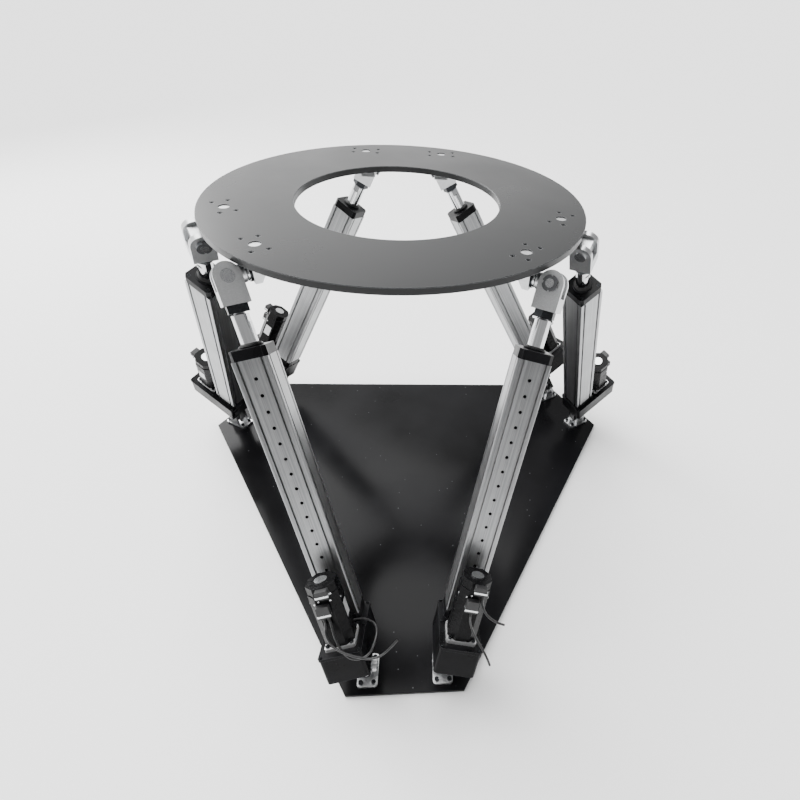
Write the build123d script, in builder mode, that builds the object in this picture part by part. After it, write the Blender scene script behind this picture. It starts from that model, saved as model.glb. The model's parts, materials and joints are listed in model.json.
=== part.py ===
from build123d import *
from math import cos, hypot, pi, radians, sin, sqrt, tan
import os

os.makedirs("parts", exist_ok=True)

# Six-legged motion platform: base plate, six folded electric cylinders, ring plate.
# Origin: centre of the base plate's underside. +Z up, front pair of feet toward -Y. Millimetres.

# Base plate and ring plate
pair_azimuths = (-90, 30, 150)
base_thickness = 12
short_edge_length = 350
short_edge_distance = 888
plate_edge_break = 1.2
ring_radius = 500
ring_hole_radius = 270
ring_thickness = 16

# Joint centres: each pair of feet on the base, each pair of heads at the ring
foot_radial = 820
foot_lateral = 112
foot_axis_rise = 45
head_radial = 493
head_lateral = 121
head_axis_drop = 43

# Bolt pattern shared by the foot brackets and the ring brackets
bolt_span_along = 38
bolt_span_across = 75
bolt_radius = 4.25
tap_radius = 3.4
bolt_head_radius = 6.5
bolt_head_depth = 8

# Universal joints
pin_radius = 10
pin_clearance = 0.05
face_clearance = 0.4
pin_end_chamfer = 1.2
foot_cheek_gap = 36
foot_cheek_thickness = 11
foot_cheek_radius = 20
foot_flange_length = 100
foot_flange_margin = 1
foot_flange_thickness = 9
foot_flange_corner = 10
foot_fork_gap = 41
foot_fork_thickness = 12.5
foot_fork_width = 30
foot_fork_crotch = 34
foot_cross_height = 28
foot_pin_reach = 2.5
cross_edge_break = 3

# Cylinder profile
profile_size = 85
profile_corner = 3
profile_length = 717
profile_bore_radius = 27
slot_offset = 28
slot_mouth = 6
slot_width = 10
slot_depth = 4
slot_lip = 2
row_hole_radius = 4.25
row_hole_depth = 12
row_pitch = 40
row_end_margin = 45

# Front cap and rear block
cap_thickness = 24
cap_corner = 9
cap_bolt_inset = 11
cap_bolt_radius = 4.6
cap_bolt_depth = 5
seal_radius = 28
seal_height = 5
seal_edge_break = 1.5
rear_block_height = 27

# Belt housing, on the side of the motor
housing_width = 114
housing_corner = 9
cover_height = 74
cover_wall = 6
cover_floor = 10
cover_base_height = 104
cover_plate_thickness = 8
fork_shoulder = 30
shaft_hole_clearance = 1.5
belt_width = 25
housing_motor_margin = 22
plate_overhang = 1.5
pulley_radius = 30
pulley_width = 26
pulley_flange_radius = 34
pulley_flange_thickness = 2
belt_thickness = 3.5
belt_clearance = 0.1
screw_radius = 10
screw_shaft_radius = 8
motor_shaft_radius = 9.5

# Motor
motor_size = 80
motor_gap = 21
motor_flange_thickness = 10
motor_flange_corner = 7
motor_bolt_pitch = 63.6
motor_bolt_radius = 3.3
motor_body_size = 77
motor_body_chamfer = 20
motor_body_length = 154
encoder_size = 74
encoder_chamfer = 20
encoder_length = 23
encoder_gasket = 2
encoder_gasket_inset = 1.5
encoder_disc_radius = 16.5
encoder_disc_thickness = 3
connector_width = 32
connector_depth = 18
connector_corner = 3
upper_connector_top = 373
upper_connector_bottom = 350
upper_connector_shift = 7.5
lower_connector_top = 330
lower_connector_bottom = 296
lower_connector_shift = -3

# Push rod, rod fork and upper cross
rod_radius = 20
rod_bore_radius = 13
rod_home_reach = 72.7
rod_bottom_clearance = 26
rod_clearance = 0.05
rod_guide_clearance = 0.3
rod_guide_length = 60
rod_solid_end = 60
screw_clearance = 0.5
screw_top_margin = 60
rod_flat_width = 35
rod_flat_length = 18
rod_cut_margin = 1
rod_top_below_head = 82
neck_radius = 12
jam_nut_width = 46
jam_nut_height = 18
thread_clearance = 0.05
fork_width = 60
fork_gap = 34
fork_thickness = 13
fork_bottom_drop = 60
fork_crotch_drop = 27
barrel_radius = 19
barrel_end = 42
barrel_fillet = 4
stem_reach = 31
pin_head_radius = 15
pin_head_thickness = 3
round_nut_radius = 18.5
round_nut_thickness = 9
round_nut_slot_width = 6
round_nut_slot_depth = 3
pin_end_reach = 2
nut_sides = (-1, 1, 1, -1, -1, -1)

# Ring bracket
open_pivot_gap = 0.9
thrust_washer_radius = 17.5
thrust_washer_thickness = 4
spacer_radius = 20
spacer_thickness = 6
bracket_plate_corner = 6
bracket_plate_length = 50
bracket_plate_width = 96
bracket_plate_thickness = 10
bracket_bolt_shift = 76
bracket_web_width = 44
bracket_foot_length = 16
bracket_foot_drop = 20
spigot_radius = 13.5
spigot_clearance = 0.5
spigot_recess = 2

# Cables
cable_radius = 3
cable_exit_gap = 0.1
cable_bend_share = 0.45

# Places worked out from the sizes above; each leg's length at home sets the ring's height
motor_offset = profile_size / 2 + motor_gap + motor_size / 2
housing_inner_end = -profile_size / 2 - plate_overhang
housing_outer_end = motor_offset + motor_size / 2 + housing_motor_margin
housing_length = housing_outer_end - housing_inner_end
housing_middle = (housing_outer_end + housing_inner_end) / 2
plate_top = cover_base_height + cover_height + cover_plate_thickness
profile_bottom = plate_top + rear_block_height
profile_top = profile_bottom + profile_length
cap_top = profile_top + cap_thickness
belt_middle = cover_base_height + cover_floor + (cover_height - cover_floor) / 2
motor_body_bottom = plate_top + motor_flange_thickness
encoder_bottom = motor_body_bottom + motor_body_length
encoder_top = encoder_bottom + encoder_gasket + encoder_length
connector_face = motor_offset + encoder_size / 2 - encoder_gasket_inset
connector_exit = connector_face + connector_depth / 2
washer_near = barrel_end + open_pivot_gap
bracket_face = washer_near + thrust_washer_thickness + spacer_thickness
bracket_plate_far = bracket_bolt_shift + bracket_plate_length / 2
cover_length = housing_length - 2 * plate_overhang
cover_width = housing_width - 2 * plate_overhang
fork_outer_face = fork_gap / 2 + fork_thickness
cross_pin_head = fork_outer_face + face_clearance
row_count = int((profile_length - 2 * row_end_margin) / row_pitch) + 1
rod_top = cap_top + rod_home_reach
rod_bottom = profile_bottom + rod_bottom_clearance
leg_length = rod_top + rod_top_below_head
head_plan_x = head_radial * cos(radians(60)) + head_lateral * sin(radians(60))
head_plan_y = head_radial * sin(radians(60)) - head_lateral * cos(radians(60))
plan_distance = hypot(foot_radial - head_plan_x, head_plan_y - foot_lateral)
foot_height = base_thickness + foot_axis_rise
head_height = foot_height + sqrt(leg_length**2 - plan_distance**2)
ring_underside = head_height + head_axis_drop
upper_cable_exit = upper_connector_bottom - cable_exit_gap
lower_cable_exit = lower_connector_bottom - cable_exit_gap


class Leg:
    """Joint centres, directions and placing planes of one leg."""

    def __init__(self, number, pair_azimuth, side):
        self.number = number
        outward = Vector(cos(radians(pair_azimuth)), sin(radians(pair_azimuth)), 0)
        tangent = Vector(-outward.Y, outward.X, 0)
        ring_azimuth = radians(pair_azimuth + 60 * side)
        ring_outward = Vector(cos(ring_azimuth), sin(ring_azimuth), 0)
        ring_tangent = Vector(-ring_outward.Y, ring_outward.X, 0)
        up = Vector(0, 0, 1)
        self.foot = outward * foot_radial + tangent * side * foot_lateral + up * foot_height
        self.head = ring_outward * head_radial - ring_tangent * side * head_lateral + up * head_height
        self.axis = (self.head - self.foot).normalized()
        self.foot_pin = tangent.cross(self.axis).normalized()
        self.head_pin = ring_outward.cross(self.axis).normalized() * side
        self.foot_plane = Plane(self.foot, x_dir=tangent, z_dir=up)
        self.foot_cross_plane = Plane(self.foot, x_dir=tangent, z_dir=tangent.cross(self.foot_pin))
        self.cylinder_plane = Plane(self.foot, x_dir=self.foot_pin, z_dir=self.axis)
        self.fork_plane = Plane(self.head, x_dir=self.head_pin, z_dir=self.axis)
        nut_direction = self.head_pin * nut_sides[number - 1]
        inward = ring_outward * -1
        self.head_cross_plane = Plane(self.head, x_dir=inward, z_dir=inward.cross(nut_direction))
        self.bracket_plane = Plane(self.head, x_dir=inward, z_dir=up)


legs = []
for azimuth in pair_azimuths:
    for side in (-1, 1):
        legs.append(Leg(len(legs) + 1, azimuth, side))


def export(part, name):
    """Label one finished piece and write its STEP file."""
    part.label = name
    export_step(part, "parts/" + name + ".step")


# Base plate: a triangle with its three corners cut off square, drilled for the foot brackets
with BuildPart() as base_plate:
    with BuildSketch():
        with BuildLine():
            corners = []
            for azimuth in pair_azimuths:
                outward = Vector(cos(radians(azimuth)), sin(radians(azimuth)), 0)
                tangent = Vector(-outward.Y, outward.X, 0)
                corners.append(outward * short_edge_distance - tangent * short_edge_length / 2)
                corners.append(outward * short_edge_distance + tangent * short_edge_length / 2)
            Polyline(*corners, close=True)
        make_face()
    extrude(amount=base_thickness)
    chamfer(base_plate.faces().sort_by(Axis.Z)[-1].edges(), length=plate_edge_break)
    for leg in legs:
        with Locations(leg.foot_plane.offset(-foot_axis_rise)):
            with GridLocations(bolt_span_along, bolt_span_across, 2, 2):
                Hole(tap_radius, depth=base_thickness)
export(base_plate.part, "base_plate")


# Foot bracket: rounded flange with two cheeks; X is the swivel axis, origin at the joint centre
foot_flange_width = foot_cheek_gap + 2 * foot_cheek_thickness + 2 * foot_flange_margin
with BuildPart() as foot_bracket:
    with BuildSketch(Plane.XY.offset(-foot_axis_rise)):
        RectangleRounded(foot_flange_width, foot_flange_length, foot_flange_corner)
    extrude(amount=foot_flange_thickness)
    with BuildSketch(Plane.YZ.offset(foot_cheek_gap / 2)):
        with Locations((0, -foot_axis_rise / 2)):
            Rectangle(2 * foot_cheek_radius, foot_axis_rise)
        Circle(foot_cheek_radius)
        Circle(pin_radius + pin_clearance, mode=Mode.SUBTRACT)
    extrude(amount=foot_cheek_thickness)
    mirror(about=Plane.YZ)
    with Locations(Plane.XY.offset(foot_flange_thickness - foot_axis_rise)):
        with GridLocations(bolt_span_along, bolt_span_across, 2, 2):
            Hole(bolt_radius, depth=foot_flange_thickness)

with BuildPart() as foot_brackets:
    with Locations(*[leg.foot_plane.location for leg in legs]):
        add(foot_bracket.part)
export(foot_brackets.part, "foot_brackets")


# Lower cross: block with two pins at right angles; X is the swivel axis, Y the fork pin
with BuildPart() as lower_cross:
    Box(foot_cheek_gap - 2 * face_clearance, foot_fork_gap - 2 * face_clearance, foot_cross_height)
    chamfer(lower_cross.edges(), length=cross_edge_break)
    swivel_pin_length = foot_cheek_gap + 2 * foot_cheek_thickness + 2 * foot_pin_reach
    fork_pin_length = foot_fork_gap + 2 * foot_fork_thickness + 2 * foot_pin_reach
    Cylinder(pin_radius, swivel_pin_length, rotation=(0, 90, 0))
    Cylinder(pin_radius, fork_pin_length, rotation=(90, 0, 0))
    for axis in (Axis.X, Axis.Y):
        for end in (0, -1):
            chamfer(lower_cross.faces().sort_by(axis)[end].edges(), length=pin_end_chamfer)


# Drive housing: rear fork in one piece with the belt cover; X points to the motor, Z up the leg
fork_outer = foot_fork_gap + 2 * foot_fork_thickness
with BuildPart() as drive_housing:
    with BuildSketch(Plane.XZ.offset(-foot_fork_width / 2)):
        with Locations((0, cover_base_height / 2)):
            Rectangle(fork_outer, cover_base_height)
        with Locations((0, foot_fork_crotch / 2)):
            Rectangle(foot_fork_gap, foot_fork_crotch, mode=Mode.SUBTRACT)
    extrude(amount=foot_fork_width)
    with BuildSketch(Plane.YZ.offset(foot_fork_gap / 2)):
        Circle(foot_fork_width / 2)
    extrude(amount=foot_fork_thickness)
    with BuildSketch(Plane.YZ.offset(-foot_fork_gap / 2)):
        Circle(foot_fork_width / 2)
    extrude(amount=-foot_fork_thickness)
    with BuildSketch(Plane.XY.offset(cover_base_height - fork_shoulder)):
        Rectangle(fork_outer, fork_outer)
    extrude(amount=fork_shoulder)
    with BuildSketch(Plane.YZ):
        Circle(pin_radius + pin_clearance)
    extrude(amount=fork_outer, both=True, mode=Mode.SUBTRACT)
    with BuildSketch(Plane.XY.offset(cover_base_height)):
        with Locations((housing_middle, 0)):
            RectangleRounded(cover_length, cover_width, housing_corner)
    extrude(amount=cover_height)
    pocket_length = cover_length - 2 * cover_wall
    pocket_width = cover_width - 2 * cover_wall
    with BuildSketch(Plane.XY.offset(cover_base_height + cover_floor)):
        with Locations((housing_middle, 0)):
            RectangleRounded(pocket_length, pocket_width, housing_corner - cover_wall)
    extrude(amount=cover_height - cover_floor, mode=Mode.SUBTRACT)


# Cover plate: carries the motor and the rear block, and closes the belt cover
with BuildPart() as cover_plate:
    with BuildSketch(Plane.XY.offset(plate_top - cover_plate_thickness)):
        with Locations((housing_middle, 0)):
            RectangleRounded(housing_length, housing_width, housing_corner)
        Circle(screw_shaft_radius + shaft_hole_clearance, mode=Mode.SUBTRACT)
        with Locations((motor_offset, 0)):
            Circle(motor_shaft_radius + shaft_hole_clearance, mode=Mode.SUBTRACT)
    extrude(amount=cover_plate_thickness)


# Rear block: bearing block between the cover plate and the profile
with BuildPart() as rear_block:
    with BuildSketch(Plane.XY.offset(plate_top)) as rear_outline:
        Rectangle(profile_size, profile_size)
        chamfer(rear_outline.vertices(), length=cap_corner)
        Circle(screw_shaft_radius + shaft_hole_clearance, mode=Mode.SUBTRACT)
    extrude(amount=rear_block_height)


# Ball screw with its pulley, turning inside the rear block and the hollow rod
with BuildPart() as ball_screw:
    with BuildSketch(Plane.XY.offset(belt_middle - pulley_width / 2 - pulley_flange_thickness)):
        Circle(pulley_flange_radius)
    extrude(amount=pulley_width + 2 * pulley_flange_thickness)
    with BuildSketch(Plane.XY.offset(belt_middle - pulley_width / 2)):
        Circle(pulley_flange_radius)
        Circle(pulley_radius, mode=Mode.SUBTRACT)
    extrude(amount=pulley_width, mode=Mode.SUBTRACT)
    with BuildSketch(Plane.XY.offset(belt_middle)):
        Circle(screw_shaft_radius)
    extrude(amount=profile_bottom - belt_middle)
    with BuildSketch(Plane.XY.offset(profile_bottom)):
        Circle(screw_radius)
    extrude(amount=profile_length - screw_top_margin)


# Toothed belt around both pulleys
with BuildPart() as belt:
    with BuildSketch(Plane.XY.offset(belt_middle - belt_width / 2)):
        with Locations((motor_offset / 2, 0)):
            SlotCenterToCenter(motor_offset, 2 * (pulley_radius + belt_thickness))
            SlotCenterToCenter(motor_offset, 2 * (pulley_radius + belt_clearance), mode=Mode.SUBTRACT)
    extrude(amount=belt_width)


# Cylinder profile: square extrusion with two T-slots in each face, and tapped holes on the motor side
mouth_middle = profile_size / 2 - slot_lip / 2
slot_middle = profile_size / 2 - slot_lip - slot_depth / 2
with BuildPart() as profile:
    with BuildSketch(Plane.XY.offset(profile_bottom)):
        RectangleRounded(profile_size, profile_size, profile_corner)
        Circle(profile_bore_radius, mode=Mode.SUBTRACT)
        for turn in range(4):
            with Locations(Location((0, 0, 0), (0, 0, 90 * turn))):
                with Locations((mouth_middle, -slot_offset), (mouth_middle, slot_offset)):
                    Rectangle(slot_lip, slot_mouth, mode=Mode.SUBTRACT)
                with Locations((slot_middle, -slot_offset), (slot_middle, slot_offset)):
                    Rectangle(slot_depth, slot_width, mode=Mode.SUBTRACT)
    extrude(amount=profile_length)
    row_middle = profile_top - row_end_margin - (row_count - 1) * row_pitch / 2
    with Locations(Plane((profile_size / 2, 0, row_middle), x_dir=(0, 0, 1), z_dir=(1, 0, 0))):
        with GridLocations(row_pitch, 0, row_count, 1):
            Hole(row_hole_radius, depth=row_hole_depth)


# Front cap: block with cut corners, recesses for its four screws and the rod's seal ring
with BuildPart() as front_cap:
    with BuildSketch(Plane.XY.offset(profile_top)) as cap_outline:
        Rectangle(profile_size, profile_size)
        chamfer(cap_outline.vertices(), length=cap_corner)
    extrude(amount=cap_thickness)
    with BuildSketch(Plane.XY.offset(cap_top)):
        Circle(seal_radius)
    extrude(amount=seal_height)
    chamfer(front_cap.faces().sort_by(Axis.Z)[-1].edges(), length=seal_edge_break)
    with BuildSketch(Plane.XY.offset(profile_top)):
        Circle(rod_radius + rod_clearance)
    extrude(amount=cap_thickness + seal_height, mode=Mode.SUBTRACT)
    with Locations(Plane.XY.offset(cap_top)):
        with GridLocations(profile_size - 2 * cap_bolt_inset, profile_size - 2 * cap_bolt_inset, 2, 2):
            Hole(cap_bolt_radius, depth=cap_bolt_depth)


# Servo motor: flange with four lugs, eight-sided body, encoder cap, cap disc and two connectors
with BuildPart() as motor:
    with BuildSketch(Plane.XY.offset(plate_top)):
        with Locations((motor_offset, 0)):
            RectangleRounded(motor_size, motor_size, motor_flange_corner)
            with GridLocations(motor_bolt_pitch, motor_bolt_pitch, 2, 2):
                Circle(motor_bolt_radius, mode=Mode.SUBTRACT)
    extrude(amount=motor_flange_thickness)
    with BuildSketch(Plane.XY.offset(motor_body_bottom)) as body_outline:
        with Locations((motor_offset, 0)):
            Rectangle(motor_body_size, motor_body_size)
        chamfer(body_outline.vertices(), length=motor_body_chamfer)
    extrude(amount=motor_body_length)
    with BuildSketch(Plane.XY.offset(encoder_bottom)) as gasket_outline:
        with Locations((motor_offset, 0)):
            Rectangle(encoder_size - 2 * encoder_gasket_inset, encoder_size - 2 * encoder_gasket_inset)
        chamfer(gasket_outline.vertices(), length=encoder_chamfer)
    extrude(amount=encoder_gasket)
    with BuildSketch(Plane.XY.offset(encoder_bottom + encoder_gasket)) as encoder_outline:
        with Locations((motor_offset, 0)):
            Rectangle(encoder_size, encoder_size)
        chamfer(encoder_outline.vertices(), length=encoder_chamfer)
    extrude(amount=encoder_length)
    with BuildSketch(Plane.XY.offset(encoder_top)):
        with Locations((motor_offset, 0)):
            Circle(encoder_disc_radius)
    extrude(amount=encoder_disc_thickness)
    upper_height = upper_connector_top - upper_connector_bottom
    lower_height = lower_connector_top - lower_connector_bottom
    with BuildSketch(Plane.YZ.offset(connector_face)):
        with Locations((upper_connector_shift, upper_connector_bottom + upper_height / 2)):
            RectangleRounded(connector_width, upper_height, connector_corner)
        with Locations((lower_connector_shift, lower_connector_bottom + lower_height / 2)):
            RectangleRounded(connector_width, lower_height, connector_corner)
    extrude(amount=connector_depth)


# Motor shaft with its pulley, inside the belt cover
with BuildPart() as motor_shaft:
    with BuildSketch(Plane.XY.offset(belt_middle - pulley_width / 2 - pulley_flange_thickness)):
        with Locations((motor_offset, 0)):
            Circle(pulley_flange_radius)
    extrude(amount=pulley_width + 2 * pulley_flange_thickness)
    with BuildSketch(Plane.XY.offset(belt_middle - pulley_width / 2)):
        with Locations((motor_offset, 0)):
            Circle(pulley_flange_radius)
            Circle(pulley_radius, mode=Mode.SUBTRACT)
    extrude(amount=pulley_width, mode=Mode.SUBTRACT)
    with BuildSketch(Plane.XY.offset(belt_middle)):
        with Locations((motor_offset, 0)):
            Circle(motor_shaft_radius)
    extrude(amount=plate_top - belt_middle)


# Push rod: hollow, with the guide and ball nut at its inner end and spanner flats at the top
with BuildPart() as rod:
    with BuildSketch(Plane.XY.offset(rod_bottom)):
        Circle(rod_radius)
    extrude(amount=rod_top - rod_bottom)
    with BuildSketch(Plane.XY.offset(rod_bottom)):
        Circle(profile_bore_radius - rod_guide_clearance)
    extrude(amount=rod_guide_length)
    with BuildSketch(Plane.XY.offset(rod_bottom)):
        Circle(screw_radius + screw_clearance)
    extrude(amount=rod_guide_length, mode=Mode.SUBTRACT)
    with BuildSketch(Plane.XY.offset(rod_bottom + rod_guide_length)):
        Circle(rod_bore_radius)
    extrude(amount=rod_top - rod_solid_end - rod_bottom - rod_guide_length, mode=Mode.SUBTRACT)
    with BuildSketch(Plane.XY.offset(rod_top - rod_flat_length)):
        Circle(rod_radius + rod_cut_margin)
        Rectangle(2 * (rod_radius + rod_cut_margin), rod_flat_width, mode=Mode.SUBTRACT)
    extrude(amount=rod_flat_length, mode=Mode.SUBTRACT)


# Rod fork: two cheeks with round ends, threaded neck; X is the pin axis, origin at the joint centre
with BuildPart() as rod_fork:
    with BuildSketch(Plane.YZ.offset(-fork_gap / 2 - fork_thickness)):
        with Locations((0, -fork_bottom_drop / 2)):
            Rectangle(fork_width, fork_bottom_drop)
        Circle(fork_width / 2)
    extrude(amount=fork_gap + 2 * fork_thickness)
    with BuildSketch(Plane.XZ):
        with Locations((0, (fork_width - fork_crotch_drop) / 2)):
            Rectangle(fork_gap, fork_width + fork_crotch_drop)
    extrude(amount=fork_width, both=True, mode=Mode.SUBTRACT)
    with BuildSketch(Plane.YZ):
        Circle(pin_radius + pin_clearance)
    extrude(amount=fork_gap / 2 + fork_thickness, both=True, mode=Mode.SUBTRACT)
    with BuildSketch(Plane.XY.offset(-rod_top_below_head)):
        Circle(neck_radius)
    extrude(amount=rod_top_below_head - fork_bottom_drop)

with BuildPart() as jam_nut:
    with BuildSketch(Plane.XY.offset(-fork_bottom_drop - jam_nut_height)):
        RegularPolygon(jam_nut_width / 2, 6, major_radius=False)
        Circle(neck_radius + thread_clearance, mode=Mode.SUBTRACT)
    extrude(amount=jam_nut_height)


# Upper cross: T-block whose barrel turns on the ring bracket; X points to the bracket, Y to the round nut
with BuildPart() as upper_cross:
    with BuildSketch(Plane.YZ.offset(-barrel_radius)):
        RectangleRounded(fork_gap - 2 * face_clearance, 2 * barrel_radius, cross_edge_break)
    extrude(amount=barrel_radius + stem_reach)
    with BuildSketch(Plane.YZ.offset(stem_reach)):
        Circle(barrel_radius)
    extrude(amount=barrel_end - stem_reach)
    fillet(upper_cross.faces().sort_by(Axis.X)[-1].edges(), radius=barrel_fillet)
    with BuildSketch(Plane.XZ.offset(cross_pin_head)):
        Circle(pin_radius)
    extrude(amount=-(cross_pin_head + fork_outer_face + round_nut_thickness + pin_end_reach))
    with BuildSketch(Plane.XZ.offset(cross_pin_head)):
        Circle(pin_head_radius)
    extrude(amount=pin_head_thickness)

with BuildPart() as round_nut:
    with BuildSketch(Plane.XZ.offset(-cross_pin_head)):
        Circle(round_nut_radius)
        Circle(pin_radius + thread_clearance, mode=Mode.SUBTRACT)
        with PolarLocations(round_nut_radius, 4):
            Rectangle(2 * round_nut_slot_depth, round_nut_slot_width, mode=Mode.SUBTRACT)
    extrude(amount=-round_nut_thickness)


# Ring bracket: flat plate under the ring, tapered web and bearing face; X points to the ring's middle
with BuildPart() as ring_bracket:
    with BuildSketch(Plane.XY.offset(head_axis_drop - bracket_plate_thickness)):
        with Locations((bracket_bolt_shift, 0)):
            RectangleRounded(bracket_plate_length, bracket_plate_width, bracket_plate_corner)
    extrude(amount=bracket_plate_thickness)
    web_top = head_axis_drop - bracket_plate_thickness
    with BuildSketch(Plane.XZ):
        with BuildLine():
            Polyline(
                (bracket_face, web_top),
                (bracket_face, -bracket_foot_drop),
                (bracket_face + bracket_foot_length, -bracket_foot_drop),
                (bracket_plate_far, web_top),
                close=True,
            )
        make_face()
    extrude(amount=bracket_web_width / 2, both=True)
    with BuildSketch(Plane.XY.offset(head_axis_drop)):
        with Locations((bracket_bolt_shift, 0)):
            Circle(spigot_radius)
    extrude(amount=ring_thickness - spigot_recess)
    with Locations(Plane.XY.offset(head_axis_drop)):
        with Locations((bracket_bolt_shift, 0)):
            with GridLocations(bolt_span_along, bolt_span_across, 2, 2):
                Hole(tap_radius, depth=bracket_plate_thickness)
    with BuildSketch(Plane.YZ.offset(bracket_face)):
        Circle(spacer_radius)
    extrude(amount=-spacer_thickness)
    with BuildSketch(Plane.YZ.offset(washer_near)):
        Circle(thrust_washer_radius)
    extrude(amount=thrust_washer_thickness)
bracket_places = [leg.bracket_plane.location for leg in legs]
export(Compound([ring_bracket.part.moved(place) for place in bracket_places]), "ring_brackets")


# Ring plate with the brackets' spigot holes and screw holes
with BuildPart() as ring_plate:
    with BuildSketch(Plane.XY.offset(ring_underside)):
        Circle(ring_radius)
        Circle(ring_hole_radius, mode=Mode.SUBTRACT)
    extrude(amount=ring_thickness)
    chamfer(ring_plate.faces().sort_by(Axis.Z)[-1].edges(), length=plate_edge_break)
    for leg in legs:
        seat = leg.bracket_plane.offset(head_axis_drop + ring_thickness)
        with Locations(seat):
            with Locations((bracket_bolt_shift, 0)):
                Hole(spigot_radius + spigot_clearance, depth=ring_thickness)
                with GridLocations(bolt_span_along, bolt_span_across, 2, 2):
                    CounterBoreHole(bolt_radius, bolt_head_radius, bolt_head_depth, depth=ring_thickness)
export(ring_plate.part, "ring_plate")


# Six legs: every piece is made once and placed at each leg's own planes
for leg in legs:
    number = str(leg.number)
    cylinder = leg.cylinder_plane.location
    fork = leg.fork_plane.location
    head = leg.head_cross_plane.location
    export(Part(lower_cross.part.moved(leg.foot_cross_plane.location).wrapped), "lower_cross_" + number)
    housing_pieces = [drive_housing, cover_plate, rear_block, ball_screw, belt]
    export(Compound([piece.part.moved(cylinder) for piece in housing_pieces]), "drive_housing_" + number)
    export(profile.part.moved(cylinder), "profile_" + number)
    export(front_cap.part.moved(cylinder), "front_cap_" + number)
    export(Compound([piece.part.moved(cylinder) for piece in (motor, motor_shaft)]), "motor_" + number)
    export(rod.part.moved(cylinder), "rod_" + number)
    export(Compound([piece.part.moved(fork) for piece in (rod_fork, jam_nut)]), "rod_fork_" + number)
    export(Compound([piece.part.moved(head) for piece in (upper_cross, round_nut)]), "upper_cross_" + number)


# Motor cables of the two front legs: route points as (toward motor, sideways, up the leg)
cable_routes = {
    "power_cable_1": (
        (connector_exit, 3, lower_cable_exit),
        (connector_exit, 3, 272),
        (163, 5, 240),
        (171, 12, 207),
        (176, 26, 180),
        (174, 48, 168),
        (165, 74, 170),
        (152, 89, 186),
        (128, 100, 202),
        (102, 94, 209),
        (78, 78, 206),
        (60, 58, 204),
        (53, 33, 204),
        (52, 10, 203),
    ),
    "encoder_cable_1": (
        (connector_exit, -9, lower_cable_exit),
        (connector_exit, -9, 275),
        (157, -17, 250),
        (173, -5, 225),
        (184, 20, 206),
        (188, 50, 188),
        (187, 79, 172),
        (183, 105, 171),
        (176, 130, 181),
        (169, 154, 196),
    ),
    "power_cable_2": (
        (connector_exit, 0, lower_cable_exit),
        (connector_exit, 0, 274),
        (150, 12, 248),
        (155, 30, 223),
        (163, 50, 203),
        (171, 68, 184),
        (175, 82, 162),
    ),
    "encoder_cable_2": (
        (connector_exit, 18, upper_cable_exit),
        (connector_exit, 18, 333.4),
        (155, 24, 317),
        (163, 35, 305),
        (166, 50, 296),
        (169, 68, 290),
        (171, 87, 289),
    ),
}
cable_section = pi * cable_radius**2
for name, route in cable_routes.items():
    points = [Vector(*point) for point in route]
    radii = []
    for before, here, after in zip(points, points[1:], points[2:]):
        turn = (here - before).get_angle(after - here)
        shorter = min((here - before).length, (after - here).length)
        radii.append(cable_bend_share * shorter / tan(radians(turn / 2)))
    with BuildPart() as cable:
        with BuildLine() as centre_line:
            FilletPolyline(*points, radius=radii)
        with BuildSketch(Plane(points[0], z_dir=points[1] - points[0])):
            Circle(cable_radius)
        sweep()
    length = centre_line.wire().length
    volume_ratio = cable.part.volume / (cable_section * length)
    print(name, "length", round(length, 1), "volume over section times length", round(volume_ratio, 4))
    print(name, "radii", [round(radius, 1) for radius in radii])
    placed = cable.part.moved(legs[int(name[-1]) - 1].cylinder_plane.location)
    export(placed, name)
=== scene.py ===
import json
import math

import bmesh
import bpy
import numpy as np
from mathutils import Matrix, Vector


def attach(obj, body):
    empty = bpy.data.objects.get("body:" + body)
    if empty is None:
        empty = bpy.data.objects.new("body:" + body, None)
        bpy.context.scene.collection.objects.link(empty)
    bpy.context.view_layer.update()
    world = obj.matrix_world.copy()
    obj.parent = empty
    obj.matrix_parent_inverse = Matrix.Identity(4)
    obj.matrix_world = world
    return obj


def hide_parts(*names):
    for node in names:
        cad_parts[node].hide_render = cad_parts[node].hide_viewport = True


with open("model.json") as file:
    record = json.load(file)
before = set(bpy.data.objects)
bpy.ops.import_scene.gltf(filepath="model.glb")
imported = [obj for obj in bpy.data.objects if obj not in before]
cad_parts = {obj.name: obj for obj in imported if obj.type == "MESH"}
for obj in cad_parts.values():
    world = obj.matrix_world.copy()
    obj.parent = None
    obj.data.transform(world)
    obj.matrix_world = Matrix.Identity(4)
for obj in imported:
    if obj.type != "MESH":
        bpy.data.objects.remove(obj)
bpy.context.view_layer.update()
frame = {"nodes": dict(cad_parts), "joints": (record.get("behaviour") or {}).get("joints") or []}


# Base plate: a large steel plate, laser cut from a triangle and powder coated satin black.
# It lies on the floor and carries the six foot brackets.
MM = 0.001
nodes = frame["nodes"]


def linear(colour):
    """An sRGB hex colour as linear RGBA."""
    parts = [int(colour[i:i + 2], 16) / 255 for i in (1, 3, 5)]
    return [p / 12.92 if p <= 0.04045 else ((p + 0.055) / 1.055) ** 2.4 for p in parts] + [1.0]


def blank_material(name):
    """A material with an empty node tree."""
    material = bpy.data.materials.new(name)
    material.use_nodes = True
    material.node_tree.nodes.clear()
    return material


def add_node(owner, kind, inputs, output=0, **settings):
    """Add a shader node to a material or the world, and return one of its outputs.
    An input is a value or another node's output."""
    tree = owner.node_tree
    node = tree.nodes.new("ShaderNode" + kind)
    for key, value in settings.items():
        setattr(node, key, value)
    for key, value in inputs.items():
        if isinstance(value, bpy.types.NodeSocket):
            tree.links.new(value, node.inputs[key])
        else:
            node.inputs[key].default_value = value
    return node.outputs[output] if node.outputs else None


def give(names, *materials):
    """Give CAD nodes their materials, in slot order."""
    for name in names:
        nodes[name].data.materials.clear()
        for material in materials:
            nodes[name].data.materials.append(material)


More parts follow.
